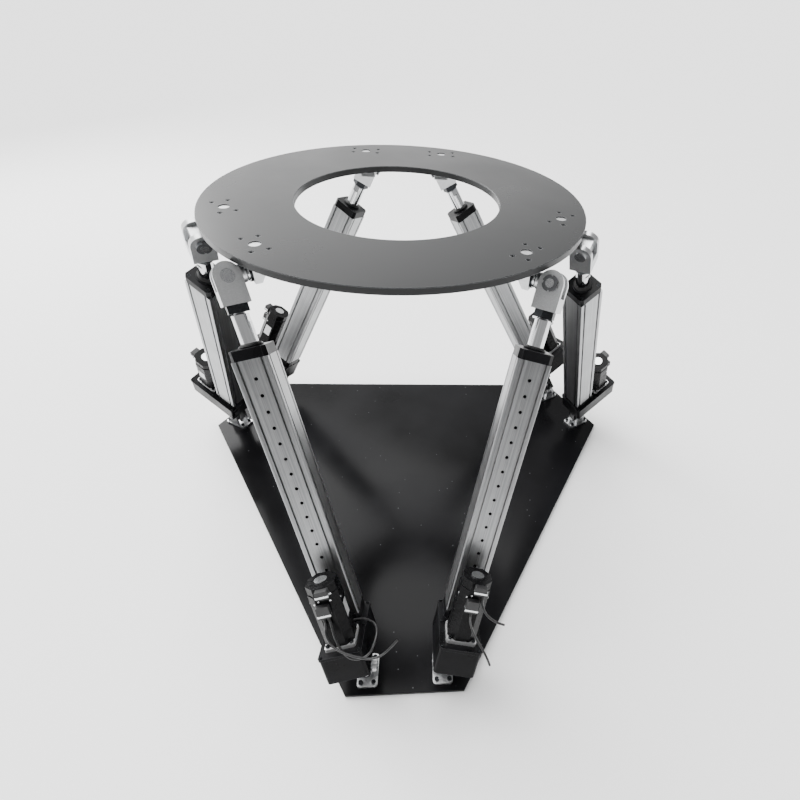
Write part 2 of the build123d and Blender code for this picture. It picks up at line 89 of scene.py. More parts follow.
# Baked polyester powder: near black and semi-gloss. Its orange peel is 2 mm wide, wiped patches
# half a metre wide dull the reflections, and specks of dust lie about 40 mm apart.
powder_coat = blank_material("powder_coat_black")
place = add_node(powder_coat, "TexCoord", {}, "Object")
patches = add_node(powder_coat, "TexNoise", {"Vector": place, "Scale": 1 / (450 * MM), "Detail": 6.0})
wiped = add_node(powder_coat, "MapRange", {"Value": patches, "From Min": 0.35, "From Max": 0.65})
specks = add_node(powder_coat, "TexVoronoi", {"Vector": place, "Scale": 1 / (42 * MM)})
dust = add_node(powder_coat, "MapRange", {"Value": specks, "From Min": 0.055, "From Max": 0.04})
coat_tone = add_node(powder_coat, "MixRGB", {
    "Fac": wiped, "Color1": linear("#0b0b0c"), "Color2": linear("#141416")})
coat_colour = add_node(powder_coat, "MixRGB", {
    "Fac": dust, "Color1": coat_tone, "Color2": linear("#4d4e50")})
coat_gloss = add_node(powder_coat, "MapRange", {"Value": wiped, "To Min": 0.13, "To Max": 0.25})
peel = add_node(powder_coat, "TexNoise", {"Vector": place, "Scale": 1 / (2 * MM), "Detail": 2.0})
peel_bump = add_node(powder_coat, "Bump", {"Height": peel, "Strength": 0.08, "Distance": 0.1 * MM})
coat = add_node(powder_coat, "BsdfPrincipled", {
    "Base Color": coat_colour, "Roughness": coat_gloss, "Normal": peel_bump, "IOR": 1.52,
    "Specular IOR Level": 0.07})
add_node(powder_coat, "OutputMaterial", {"Surface": coat})
give(["base_plate"], powder_coat)


# Foot brackets: clevises machined from aluminium and clear anodised, one under each cylinder.
# Four socket screws with washers hold each flange to the base plate.
LEGS = range(1, 7)
joint = {j["name"]: j for j in frame["joints"]}
UP = Vector((0, 0, 1))
FLANGE_TOP = -36
BOLT_X = 19
BOLT_Y = 37.5
FOOT_SCREW_RADIUS = 6.5
FOOT_SCREW_HEIGHT = 8
FOOT_SCREW_KEY = 6
WASHER_RADIUS = 8
WASHER_THICKNESS = 1.4
WASHER_CORNER = (0.4, 0.3)
SCREW_CHAMFER = 0.8
SOCKET_LEAD = 0.4
SOCKET_FLOOR = 0.45
SOCKET_POINT = 0.35
SOCKET_TIP = 0.3

# Milled aluminium: a light metal. The cutter leaves marks that show as bands of softer and
# sharper reflections; they are drawn 4 mm apart, about ten times coarser than real ones.
milled_aluminium = blank_material("milled_aluminium")
place = add_node(milled_aluminium, "TexCoord", {}, "Object")
along = add_node(milled_aluminium, "Mapping", {"Vector": place, "Scale": (1.0, 1.0, 5.0)})
cuts = add_node(milled_aluminium, "TexNoise", {"Vector": along, "Scale": 1 / (4 * MM), "Detail": 3.0})
marks = add_node(milled_aluminium, "MapRange", {"Value": cuts, "From Min": 0.35, "From Max": 0.65})
mill_tone = add_node(milled_aluminium, "MixRGB", {
    "Fac": marks, "Color1": linear("#bcbdbe"), "Color2": linear("#cfd0d1")})
mill_gloss = add_node(milled_aluminium, "MapRange", {"Value": marks, "To Min": 0.32, "To Max": 0.40})
mill_bump = add_node(milled_aluminium, "Bump", {"Height": cuts, "Strength": 0.1, "Distance": 0.2 * MM})
mill = add_node(milled_aluminium, "BsdfPrincipled", {
    "Base Color": mill_tone, "Roughness": mill_gloss, "Normal": mill_bump, "Metallic": 1.0})
add_node(milled_aluminium, "OutputMaterial", {"Surface": mill})
give(["foot_brackets"], milled_aluminium)

# Black oxide on alloy steel: a dark conversion layer with an oily sheen in blotches of 3 mm.
black_oxide = blank_material("black_oxide_steel")
place = add_node(black_oxide, "TexCoord", {}, "Object")
blotches = add_node(black_oxide, "TexNoise", {"Vector": place, "Scale": 1 / (3 * MM), "Detail": 2.0})
oil = add_node(black_oxide, "MapRange", {"Value": blotches, "From Min": 0.2, "From Max": 0.8})
oxide_tone = add_node(black_oxide, "MixRGB", {
    "Fac": oil, "Color1": linear("#232426"), "Color2": linear("#37393b")})
oxide_gloss = add_node(black_oxide, "MapRange", {"Value": oil, "To Min": 0.30, "To Max": 0.42})
oxide = add_node(black_oxide, "BsdfPrincipled", {
    "Base Color": oxide_tone, "Roughness": oxide_gloss, "Metallic": 1.0})
add_node(black_oxide, "OutputMaterial", {"Surface": oxide})

# Bright zinc plate on steel: light and slightly cool, its gloss a little uneven every 6 mm.
zinc_plate = blank_material("bright_zinc_steel")
place = add_node(zinc_plate, "TexCoord", {}, "Object")
uneven = add_node(zinc_plate, "TexNoise", {"Vector": place, "Scale": 1 / (6 * MM), "Detail": 2.0})
bright = add_node(zinc_plate, "MapRange", {"Value": uneven, "From Min": 0.2, "From Max": 0.8})
zinc_tone = add_node(zinc_plate, "MixRGB", {
    "Fac": bright, "Color1": linear("#cccecf"), "Color2": linear("#dcddde")})
zinc_gloss = add_node(zinc_plate, "MapRange", {"Value": bright, "To Min": 0.22, "To Max": 0.28})
zinc = add_node(zinc_plate, "BsdfPrincipled", {
    "Base Color": zinc_tone, "Roughness": zinc_gloss, "Metallic": 1.0})
add_node(zinc_plate, "OutputMaterial", {"Surface": zinc})


def ring_points(size, height, shape, where, count):
    """Points of one ring about local z: "round" by radius, "hex" by half the width across flats."""
    points = []
    for k in range(count):
        angle = 2 * math.pi * k / count
        fold = (angle + math.pi / 6) % (math.pi / 3) - math.pi / 6
        reach = size / math.cos(fold) if shape == "hex" else size
        points.append(where @ Vector((reach * math.cos(angle), reach * math.sin(angle), height)))
    return points


def turned(mesh, rings, where, count=24, smooth=()):
    """Add a closed turned shape through rings of (size, height, shape) in millimetres.
    smooth lists the bands between rings that shade round."""
    previous = first = None
    for step, (size, height, shape) in enumerate(rings):
        verts = [mesh.verts.new(p) for p in ring_points(size * MM, height * MM, shape, where, count)]
        if previous is None:
            first = verts
        else:
            for k in range(count):
                n = (k + 1) % count
                face = mesh.faces.new((previous[k], previous[n], verts[n], verts[k]))
                face.smooth = step - 1 in smooth
        previous = verts
    mesh.faces.new(list(reversed(first)))
    mesh.faces.new(previous)


def socket_screw(mesh, where, head, height, key):
    """A cap screw's head: chamfered rim and hexagon socket; head is its radius, key its width."""
    turned(mesh, [
        (head, 0, "round"), (head, height - SCREW_CHAMFER, "round"),
        (head - SCREW_CHAMFER, height, "round"),
        (key / 2 + SOCKET_LEAD, height, "hex"), (key / 2, height - SOCKET_LEAD, "hex"),
        (key / 2, height * SOCKET_FLOOR, "hex"), (SOCKET_TIP, height * SOCKET_POINT, "round"),
    ], where, smooth=(0,))


def spot(x, y, z, facing="z"):
    """A matrix at a point in millimetres whose local z looks along the named direction."""
    turns = {"z": (0, "X"), "x": (90, "Y"), "y": (-90, "X"), "-y": (90, "X")}
    angle, axis = turns[facing]
    return Matrix.Translation(Vector((x, y, z)) * MM) @ Matrix.Rotation(math.radians(angle), 4, axis)


def made(name, build, *materials):
    """A mesh from a function that fills a bmesh."""
    mesh = bpy.data.meshes.new(name)
    work = bmesh.new()
    build(work)
    bmesh.ops.recalc_face_normals(work, faces=work.faces)
    work.to_mesh(mesh)
    work.free()
    for material in materials:
        mesh.materials.append(material)
    return mesh


def fixed(name, mesh, where, body):
    """An object of a mesh, placed by a matrix and riding on a CAD body."""
    piece = bpy.data.objects.new(name, mesh)
    bpy.context.scene.collection.objects.link(piece)
    piece.matrix_world = where
    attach(piece, body)
    return piece


def axes(origin, x, z):
    """The matrix of a local frame from its origin and its x and z directions."""
    y = z.cross(x)
    turn = Matrix(((x.x, y.x, z.x), (x.y, y.y, z.y), (x.z, y.z, z.z)))
    return Matrix.Translation(origin) @ turn.to_4x4()


def pivot(name):
    """The point that a joint turns about."""
    return Vector(joint[name]["pos_m"])


def direction(name):
    """The direction of a joint's axis."""
    return Vector(joint[name]["axis"]).normalized()


def foot_screws(mesh):
    """The four cap screws of one flange."""
    for x in (-BOLT_X, BOLT_X):
        for y in (-BOLT_Y, BOLT_Y):
            where = spot(x, y, FLANGE_TOP + WASHER_THICKNESS)
            socket_screw(mesh, where, FOOT_SCREW_RADIUS, FOOT_SCREW_HEIGHT, FOOT_SCREW_KEY)


def foot_washers(mesh):
    """The four washers of one flange, rounded on both faces."""
    inset, rise = WASHER_CORNER
    soft = WASHER_RADIUS - inset
    section = [(soft, 0), (WASHER_RADIUS, rise), (WASHER_RADIUS, WASHER_THICKNESS - rise),
               (soft, WASHER_THICKNESS)]
    for x in (-BOLT_X, BOLT_X):
        for y in (-BOLT_Y, BOLT_Y):
            turned(mesh, [(r, z, "round") for r, z in section], spot(x, y, FLANGE_TOP))


foot_screw_mesh = made("foot_screws", foot_screws, black_oxide)
foot_washer_mesh = made("foot_washers", foot_washers, zinc_plate)
for i in LEGS:
    foot = axes(pivot(f"foot_swivel_{i}"), direction(f"foot_swivel_{i}"), UP)
    fixed(f"foot_screws_{i}", foot_screw_mesh, foot, "base")
    fixed(f"foot_washers_{i}", foot_washer_mesh, foot, "base")


# Lower crosses: blocks and pins of ground steel that turn in the foot brackets and carry the
# forks of the housings. The grinding lines, drawn 2 mm apart, are coarser than real ones.
ground_steel = blank_material("ground_steel")
place = add_node(ground_steel, "TexCoord", {}, "Object")
across = add_node(ground_steel, "Mapping", {"Vector": place, "Scale": (6.0, 1.0, 1.0)})
lines = add_node(ground_steel, "TexNoise", {"Vector": across, "Scale": 1 / (2 * MM), "Detail": 2.0})
grind = add_node(ground_steel, "MapRange", {"Value": lines, "From Min": 0.2, "From Max": 0.8})
steel_tone = add_node(ground_steel, "MixRGB", {
    "Fac": grind, "Color1": linear("#a2a3a5"), "Color2": linear("#c0c1c3")})
steel_gloss = add_node(ground_steel, "MapRange", {"Value": grind, "To Min": 0.22, "To Max": 0.34})
steel_bump = add_node(ground_steel, "Bump", {"Height": lines, "Strength": 0.06, "Distance": 0.1 * MM})
steel = add_node(ground_steel, "BsdfPrincipled", {
    "Base Color": steel_tone, "Roughness": steel_gloss, "Normal": steel_bump, "Metallic": 1.0})
add_node(ground_steel, "OutputMaterial", {"Surface": steel})
give([f"lower_cross_{i}" for i in LEGS], ground_steel)


# Drive housings: fork, belt cover, cover plate and bearing block of milled aluminium, glass bead
# blasted and anodised black. Six blackened screws hold each cover plate.
PLATE_TOP = 186
PLATE_SCREWS = ((-37, -50), (-37, 50), (58, -50), (58, 50), (158, -50), (158, 50))
PLATE_SCREW_RADIUS = 3.8
PLATE_SCREW_HEIGHT = 4
PLATE_SCREW_KEY = 4
leg_at = {i: axes(pivot(f"foot_pin_{i}"), direction(f"foot_pin_{i}"), direction(f"rod_slide_{i}"))
          for i in LEGS}

# Black anodising: a dark, slightly open film over blasting pits, drawn 1 mm wide so that they
# show. Handling has smeared its gloss; the sharp edges are lighter, wear plus a painted highlight.
black_anodised = blank_material("black_anodised_aluminium")
place = add_node(black_anodised, "TexCoord", {}, "Object")
smears = add_node(black_anodised, "TexNoise", {"Vector": place, "Scale": 1 / (70 * MM), "Detail": 4.0})
handled = add_node(black_anodised, "MapRange", {"Value": smears, "From Min": 0.35, "From Max": 0.65})
rounded = add_node(black_anodised, "Bevel", {"Radius": 1.0 * MM}, samples=4)
flat = add_node(black_anodised, "NewGeometry", {}, "True Normal")
alike = add_node(black_anodised, "VectorMath", {0: rounded, 1: flat}, "Value", operation="DOT_PRODUCT")
# Painted highlight, partly wear: the bevel mask lightens a band about 1 mm wide along the edges.
rubbed_and_highlit_edges = add_node(black_anodised, "MapRange", {
    "Value": alike, "From Min": 0.985, "From Max": 0.86, "To Max": 0.8})
film_tone = add_node(black_anodised, "MixRGB", {
    "Fac": handled, "Color1": linear("#0a0a0b"), "Color2": linear("#131315")})
film_colour = add_node(black_anodised, "MixRGB", {
    "Fac": rubbed_and_highlit_edges, "Color1": film_tone, "Color2": linear("#56585b")})
film_gloss = add_node(black_anodised, "MapRange", {"Value": handled, "To Min": 0.26, "To Max": 0.40})
pits = add_node(black_anodised, "TexNoise", {"Vector": place, "Scale": 1 / (1 * MM), "Detail": 2.0})
pit_bump = add_node(black_anodised, "Bump", {"Height": pits, "Strength": 0.10, "Distance": 0.1 * MM})
film = add_node(black_anodised, "BsdfPrincipled", {
    "Base Color": film_colour, "Roughness": film_gloss, "Normal": pit_bump, "IOR": 1.62,
    "Specular IOR Level": 0.06})
add_node(black_anodised, "OutputMaterial", {"Surface": film})
give([f"drive_housing_{i}" for i in LEGS], black_anodised)


def plate_screws(mesh):
    """The screws of one cover plate."""
    for x, y in PLATE_SCREWS:
        where = spot(x, y, PLATE_TOP)
        socket_screw(mesh, where, PLATE_SCREW_RADIUS, PLATE_SCREW_HEIGHT, PLATE_SCREW_KEY)


plate_screw_mesh = made("plate_screws", plate_screws, black_oxide)
for i in LEGS:
    fixed(f"plate_screws_{i}", plate_screw_mesh, leg_at[i], f"cylinder_{i}")


# Profiles: extruded aluminium, 85 mm square, natural anodised. Die lines run along them, and the
# film has faint clouds a hand wide.
PROFILE_HALF = 42.5
ROW_HOLE_REACH = 5.5
ROW_HOLE_FLOOR = 30
FACE_SLACK = 0.1


def locate(name, where):
    """Store each vertex's place in a local frame as the attribute leg_place, in metres."""
    mesh = nodes[name].data
    inverse = np.array(where.inverted())
    coordinates = np.empty(len(mesh.vertices) * 3, np.float32)
    mesh.vertices.foreach_get("co", coordinates)
    local = coordinates.reshape(-1, 3) @ inverse[:3, :3].T + inverse[:3, 3]
    attribute = mesh.attributes.new("leg_place", "FLOAT_VECTOR", "POINT")
    attribute.data.foreach_set("vector", local.astype(np.float32).ravel())
    return local


def paint(name, where, rule):
    """Give each face of a CAD node the slot that rule(x, y, z) names, in millimetres."""
    local = locate(name, where) / MM
    for face in nodes[name].data.polygons:
        face.material_index = rule(*local[list(face.vertices)].mean(axis=0))


# Die lines, drawn 2.4 mm apart, are about ten times coarser than the real ones, so they show.
extrusion = blank_material("anodised_extrusion")
place = add_node(extrusion, "Attribute", {}, "Vector", attribute_name="leg_place")
along = add_node(extrusion, "Mapping", {"Vector": place, "Scale": (1.0, 1.0, 0.004)})
die_lines = add_node(extrusion, "TexNoise", {"Vector": along, "Scale": 1 / (2.4 * MM), "Detail": 4.0})
drawn = add_node(extrusion, "MapRange", {"Value": die_lines, "From Min": 0.35, "From Max": 0.65})
clouds = add_node(extrusion, "TexNoise", {"Vector": place, "Scale": 1 / (110 * MM), "Detail": 3.0})
cloudy = add_node(extrusion, "MapRange", {
    "Value": clouds, "From Min": 0.35, "From Max": 0.65, "To Min": 0.0, "To Max": 0.35})
line_tone = add_node(extrusion, "MixRGB", {
    "Fac": drawn, "Color1": linear("#8d8e8f"), "Color2": linear("#acadae")})
film_tone = add_node(extrusion, "MixRGB", {
    "Fac": cloudy, "Color1": line_tone, "Color2": linear("#7b7c7d")})
line_gloss = add_node(extrusion, "MapRange", {"Value": drawn, "To Min": 0.28, "To Max": 0.40})
line_bump = add_node(extrusion, "Bump", {"Height": die_lines, "Strength": 0.15, "Distance": 0.2 * MM})
profile_shader = add_node(extrusion, "BsdfPrincipled", {
    "Base Color": film_tone, "Roughness": line_gloss, "Normal": line_bump, "Metallic": 1.0})
add_node(extrusion, "OutputMaterial", {"Surface": profile_shader})

# Threads of the tapped holes: dark, because they lie in shadow and hold cutting oil. The turns,
# 1 mm apart, are only a mottle of that size.
tapped_wall = blank_material("tapped_hole_wall")
place = add_node(tapped_wall, "TexCoord", {}, "Object")
turns = add_node(tapped_wall, "TexNoise", {"Vector": place, "Scale": 1 / (1 * MM)})
shaded_thread_tone = add_node(tapped_wall, "MixRGB", {
    "Fac": turns, "Color1": linear("#151515"), "Color2": linear("#2e2e2f")})
tapped = add_node(tapped_wall, "BsdfPrincipled", {
    "Base Color": shaded_thread_tone, "Roughness": 0.5, "Metallic": 1.0})
add_node(tapped_wall, "OutputMaterial", {"Surface": tapped})


def profile_slot(x, y, z):
    """1 for the walls of the row of tapped holes on the motor side, else 0."""
    in_row = abs(y) < ROW_HOLE_REACH and ROW_HOLE_FLOOR < x < PROFILE_HALF - FACE_SLACK
    return 1 if in_row else 0


for i in LEGS:
    give([f"profile_{i}"], extrusion, tapped_wall)
    paint(f"profile_{i}", leg_at[i], profile_slot)


# Front caps: black anodised blocks, with a rubber wiper round the rod in the raised seal ring,
# and four socket screws in counterbores.
CAP_TOP = 954
CAP_SCREW = 31.5
CAP_SCREW_RADIUS = 4.4
CAP_SCREW_HEIGHT = 4.6
CAP_SCREW_KEY = 4
CAP_SCREW_FLOOR = CAP_TOP - 4.9
SEAL_TOP = CAP_TOP + 5
WIPER_SECTION = [(20.15, 0), (24.5, 0), (24.5, 1.2), (22.2, 1.6), (20.5, 4.2), (20.15, 4.2)]
WIPER_SIDES = 48
give([f"front_cap_{i}" for i in LEGS], black_anodised)

# Nitrile rubber: matt black; its moulded skin is mottled every 4 mm.
nitrile = blank_material("nitrile_rubber")
place = add_node(nitrile, "TexCoord", {}, "Object")
mottle = add_node(nitrile, "TexNoise", {"Vector": place, "Scale": 1 / (4 * MM), "Detail": 2.0})
rubber_tone = add_node(nitrile, "MixRGB", {
    "Fac": mottle, "Color1": linear("#090909"), "Color2": linear("#171717")})
rubber_gloss = add_node(nitrile, "MapRange", {"Value": mottle, "To Min": 0.5, "To Max": 0.75})
rubber = add_node(nitrile, "BsdfPrincipled", {"Base Color": rubber_tone, "Roughness": rubber_gloss})
add_node(nitrile, "OutputMaterial", {"Surface": rubber})


def cap_screws(mesh):
    """The four cap screws, sunk in the counterbores."""
    for x in (-CAP_SCREW, CAP_SCREW):
        for y in (-CAP_SCREW, CAP_SCREW):
            where = spot(x, y, CAP_SCREW_FLOOR)
            socket_screw(mesh, where, CAP_SCREW_RADIUS, CAP_SCREW_HEIGHT, CAP_SCREW_KEY)


def wiper(mesh):
    """A ring with a lip against the rod: its section is turned about the leg."""
    where = spot(0, 0, SEAL_TOP)
    rings = []
    for radius, height in WIPER_SECTION:
        points = ring_points(radius * MM, height * MM, "round", where, WIPER_SIDES)
        rings.append([mesh.verts.new(p) for p in points])
    for a, b in zip(rings, rings[1:] + rings[:1]):
        for k in range(WIPER_SIDES):
            n = (k + 1) % WIPER_SIDES
            mesh.faces.new((a[k], a[n], b[n], b[k])).smooth = True


cap_screw_mesh = made("cap_screws", cap_screws, black_oxide)
wiper_mesh = made("rod_wiper", wiper, nitrile)
for i in LEGS:
    fixed(f"cap_screws_{i}", cap_screw_mesh, leg_at[i], f"cylinder_{i}")
    fixed(f"rod_wiper_{i}", wiper_mesh, leg_at[i], f"cylinder_{i}")


# Servo motors: enamelled body and encoder cap, bare die-cast flange with four screws, a steel disc
# on the cap, two plastic connectors with metal bands, and a foil plate on one side.
MOTOR_X = 103.5
MOTOR_HALF = 38.5
FLANGE_Z = 196
CAP_Z = 375
DISC_REACH = 18
LUG = 31.8
LUG_SCREW_RADIUS = 5
LUG_SCREW_HEIGHT = 6
LUG_SCREW_KEY = 5
BAND_HALF = 17.2
BAND_SUNK = 2
BAND_OUTER = 158
BAND_HEIGHT = 5.5
BAND_EDGE = 0.6
BANDS = ((-3, 301), (7.5, 355))
PAN_SCREWS = ((-21, 333), (-9, 338), (20, 337), (26, 356))
SIDE_SCREW = (14, 326)
PAN_SECTION = [(2.6, 0, "round"), (2.6, 1.1, "round"), (1.9, 1.7, "round"), (0.4, 1.7, "round")]
LABEL_HALF = 13
LABEL_Z = (262, 306)
LABEL_SUNK = 0.2
LABEL_RISE = 0.3
LABEL_EDGE = 0.1

# Stoving enamel: black, smooth and semi-gloss, with spray mottle 17 mm wide. Its edges are lighter:
# wear, plus a painted highlight.
enamel = blank_material("motor_enamel_black")
place = add_node(enamel, "TexCoord", {}, "Object")
mottle = add_node(enamel, "TexNoise", {"Vector": place, "Scale": 1 / (17 * MM), "Detail": 3.0})
sprayed = add_node(enamel, "MapRange", {"Value": mottle, "From Min": 0.35, "From Max": 0.65})
rounded = add_node(enamel, "Bevel", {"Radius": 0.9 * MM}, samples=4)
flat = add_node(enamel, "NewGeometry", {}, "True Normal")
alike = add_node(enamel, "VectorMath", {0: rounded, 1: flat}, "Value", operation="DOT_PRODUCT")
# Painted highlight, partly wear: the bevel mask lightens a band about 0.9 mm wide along the edges.
rubbed_and_highlit_edges = add_node(enamel, "MapRange", {
    "Value": alike, "From Min": 0.985, "From Max": 0.86, "To Max": 0.7})
enamel_tone = add_node(enamel, "MixRGB", {
    "Fac": sprayed, "Color1": linear("#0a0a0b"), "Color2": linear("#131314")})
enamel_colour = add_node(enamel, "MixRGB", {
    "Fac": rubbed_and_highlit_edges, "Color1": enamel_tone, "Color2": linear("#4a4b4d")})
enamel_gloss = add_node(enamel, "MapRange", {"Value": sprayed, "To Min": 0.20, "To Max": 0.34})
enamel_shader = add_node(enamel, "BsdfPrincipled", {
    "Base Color": enamel_colour, "Roughness": enamel_gloss, "IOR": 1.5, "Specular IOR Level": 0.08})
add_node(enamel, "OutputMaterial", {"Surface": enamel_shader})

# Glass-filled nylon: dull black moulding, its fibres drawn 1.5 mm wide.
nylon = blank_material("glass_filled_nylon")
place = add_node(nylon, "TexCoord", {}, "Object")
fibres = add_node(nylon, "TexNoise", {"Vector": place, "Scale": 1 / (1.5 * MM), "Detail": 3.0})
nylon_tone = add_node(nylon, "MixRGB", {
    "Fac": fibres, "Color1": linear("#0d0d0e"), "Color2": linear("#1e1e1f")})
nylon_gloss = add_node(nylon, "MapRange", {"Value": fibres, "To Min": 0.40, "To Max": 0.58})
nylon_shader = add_node(nylon, "BsdfPrincipled", {
    "Base Color": nylon_tone, "Roughness": nylon_gloss, "IOR": 1.53})
add_node(nylon, "OutputMaterial", {"Surface": nylon_shader})

# Die-cast aluminium: bright and finely frosted by the mould, its grain drawn 2 mm wide.
die_cast = blank_material("die_cast_aluminium")
place = add_node(die_cast, "TexCoord", {}, "Object")
frost = add_node(die_cast, "TexNoise", {"Vector": place, "Scale": 1 / (2 * MM), "Detail": 3.0})
frost_tone = add_node(die_cast, "MixRGB", {
    "Fac": frost, "Color1": linear("#d2d3d4"), "Color2": linear("#ececec")})
frost_gloss = add_node(die_cast, "MapRange", {"Value": frost, "To Min": 0.45, "To Max": 0.60})
frost_shader = add_node(die_cast, "BsdfPrincipled", {
    "Base Color": frost_tone, "Roughness": frost_gloss, "Metallic": 1.0})
add_node(die_cast, "OutputMaterial", {"Surface": frost_shader})

# Label foil: satin aluminium foil on adhesive, faintly creased every 15 mm.
foil = blank_material("label_foil")
place = add_node(foil, "TexCoord", {}, "Object")
creases = add_node(foil, "TexNoise", {"Vector": place, "Scale": 1 / (15 * MM), "Detail": 2.0})
foil_tone = add_node(foil, "MixRGB", {
    "Fac": creases, "Color1": linear("#cfd0d1"), "Color2": linear("#f0f0f0")})
foil_gloss = add_node(foil, "MapRange", {"Value": creases, "To Min": 0.35, "To Max": 0.5})
foil_shader = add_node(foil, "BsdfPrincipled", {
    "Base Color": foil_tone, "Roughness": foil_gloss, "Metallic": 0.6})
add_node(foil, "OutputMaterial", {"Surface": foil_shader})


def motor_slot(x, y, z):
    """0 enamelled body, 1 bare flange, 2 disc on the cap, 3 connectors."""
    if z < FLANGE_Z + FACE_SLACK:
        return 1
    if z > CAP_Z + FACE_SLACK and math.hypot(x - MOTOR_X, y) < DISC_REACH:
        return 2
    return 3 if x > MOTOR_X + MOTOR_HALF + FACE_SLACK else 0


def block(mesh, x0, x1, y0, y1, z0, z1, edge):
    """Add a block between two corners in millimetres, its edges rounded."""
    verts = [mesh.verts.new(Vector((x, y, z)) * MM)
             for z in (z0, z1) for y in (y0, y1) for x in (x0, x1)]
    faces = [mesh.faces.new([verts[k] for k in f]) for f in
             ((0, 2, 3, 1), (4, 5, 7, 6), (0, 1, 5, 4), (2, 6, 7, 3), (0, 4, 6, 2), (1, 3, 7, 5))]
    edges = list({e for f in faces for e in f.edges})
    bmesh.ops.bevel(mesh, geom=edges, offset=edge * MM, segments=2, profile=0.5, affect="EDGES")


def pan_screw(mesh, where):
    """A small pan head screw."""
    turned(mesh, PAN_SECTION, where, count=12)


def motor_screws(mesh):
    """The four screws through the flange's lugs."""
    for x in (MOTOR_X - LUG, MOTOR_X + LUG):
        for y in (-LUG, LUG):
            where = spot(x, y, FLANGE_Z)
            socket_screw(mesh, where, LUG_SCREW_RADIUS, LUG_SCREW_HEIGHT, LUG_SCREW_KEY)


def motor_bright_parts(mesh):
    """The connectors' metal bands and the small screws of the connectors and the body."""
    face = MOTOR_X + MOTOR_HALF
    for shift, bottom in BANDS:
        block(mesh, face - BAND_SUNK, BAND_OUTER, shift - BAND_HALF, shift + BAND_HALF,
              bottom, bottom + BAND_HEIGHT, BAND_EDGE)
    for y, z in PAN_SCREWS:
        pan_screw(mesh, spot(face, y, z, "x"))
    shift, z = SIDE_SCREW
    pan_screw(mesh, spot(MOTOR_X + shift, -MOTOR_HALF, z, "-y"))
    pan_screw(mesh, spot(MOTOR_X + shift, MOTOR_HALF, z, "y"))


def motor_label(mesh):
    """The foil plate on the side of the body."""
    block(mesh, MOTOR_X - LABEL_HALF, MOTOR_X + LABEL_HALF,
          MOTOR_HALF - LABEL_SUNK, MOTOR_HALF + LABEL_RISE, *LABEL_Z, LABEL_EDGE)


motor_screw_mesh = made("motor_screws", motor_screws, black_oxide)
motor_bright_mesh = made("motor_bright_parts", motor_bright_parts, zinc_plate)
motor_label_mesh = made("motor_label", motor_label, foil)
for i in LEGS:
    give([f"motor_{i}"], enamel, die_cast, zinc_plate, nylon)
    paint(f"motor_{i}", leg_at[i], motor_slot)
    fixed(f"motor_screws_{i}", motor_screw_mesh, leg_at[i], f"cylinder_{i}")
    fixed(f"motor_bright_parts_{i}", motor_bright_mesh, leg_at[i], f"cylinder_{i}")
    fixed(f"motor_label_{i}", motor_label_mesh, leg_at[i], f"cylinder_{i}")


# Push rods: ground steel with hard chrome, a mirror with a hint of lengthwise polish. The polish
# lines, drawn 3 mm apart, are far coarser than real ones.
chrome = blank_material("hard_chrome")
place = add_node(chrome, "Attribute", {}, "Vector", attribute_name="leg_place")
along = add_node(chrome, "Mapping", {"Vector": place, "Scale": (1.0, 1.0, 0.02)})
streaks = add_node(chrome, "TexNoise", {"Vector": along, "Scale": 1 / (3 * MM), "Detail": 2.0})
chrome_tone = add_node(chrome, "MixRGB", {
    "Fac": streaks, "Color1": linear("#cbccce"), "Color2": linear("#eaebec")})
chrome_gloss = add_node(chrome, "MapRange", {"Value": streaks, "To Min": 0.05, "To Max": 0.14})
chrome_shader = add_node(chrome, "BsdfPrincipled", {
    "Base Color": chrome_tone, "Roughness": chrome_gloss, "Metallic": 1.0})
add_node(chrome, "OutputMaterial", {"Surface": chrome_shader})
for i in LEGS:
    give([f"rod_{i}"], chrome)
    locate(f"rod_{i}", leg_at[i])


# Rod forks: two cheeks milled from aluminium that hold the upper cross's pin. Each is screwed
# into its rod by a threaded steel neck, and a black jam nut below the fork locks it.
JAM_NUT_TOP = -59.9
JAM_NUT_BOTTOM = -78.2
NECK_RADIUS = 12.3

# Rolled thread: bright steel in rings one pitch of 2 mm apart, with painted shade in the roots.
# A wave texture of scale 1 repeats every 0.31.
thread = blank_material("rolled_thread")
place = add_node(thread, "Attribute", {}, "Vector", attribute_name="leg_place")
pitch = add_node(thread, "TexWave", {"Vector": place, "Scale": 0.31 / (2 * MM)}, bands_direction="Z")
# Painted shade: the wave that raises the crests also paints the roots dark.
shaded_thread_tone = add_node(thread, "MixRGB", {
    "Fac": pitch, "Color1": linear("#626365"), "Color2": linear("#c4c5c7")})
thread_bump = add_node(thread, "Bump", {"Height": pitch, "Strength": 0.6, "Distance": 0.6 * MM})
thread_shader = add_node(thread, "BsdfPrincipled", {
    "Base Color": shaded_thread_tone, "Roughness": 0.32, "Normal": thread_bump, "Metallic": 1.0})
add_node(thread, "OutputMaterial", {"Surface": thread_shader})


def fork_slot(x, y, z):
    """0 fork, 1 jam nut, 2 neck."""
    if z > JAM_NUT_TOP:
        return 0
    return 1 if math.hypot(x, y) > NECK_RADIUS and z > JAM_NUT_BOTTOM else 2


for i in LEGS:
    give([f"rod_fork_{i}"], milled_aluminium, black_oxide, thread)
    head = axes(pivot(f"head_pin_{i}"), direction(f"head_pin_{i}"), direction(f"rod_slide_{i}"))
    paint(f"rod_fork_{i}", head, fork_slot)


# Upper crosses: aluminium T-blocks whose barrel faces the ring bracket. The steel pin has a flush
# head on one side of the fork, and a slotted round nut of phosphated steel on the other.
RING_AZIMUTH = {1: 210, 2: 330, 3: 330, 4: 90, 5: 90, 6: 210}
NUT_SIDE = {1: -1, 2: 1, 3: 1, 4: -1, 5: -1, 6: -1}
FORK_FACE = 30.2
FORK_INNER = 17
PIN_RADIUS = 10.1
inward = {i: Vector((-math.cos(math.radians(a)), -math.sin(math.radians(a)), 0))
          for i, a in RING_AZIMUTH.items()}

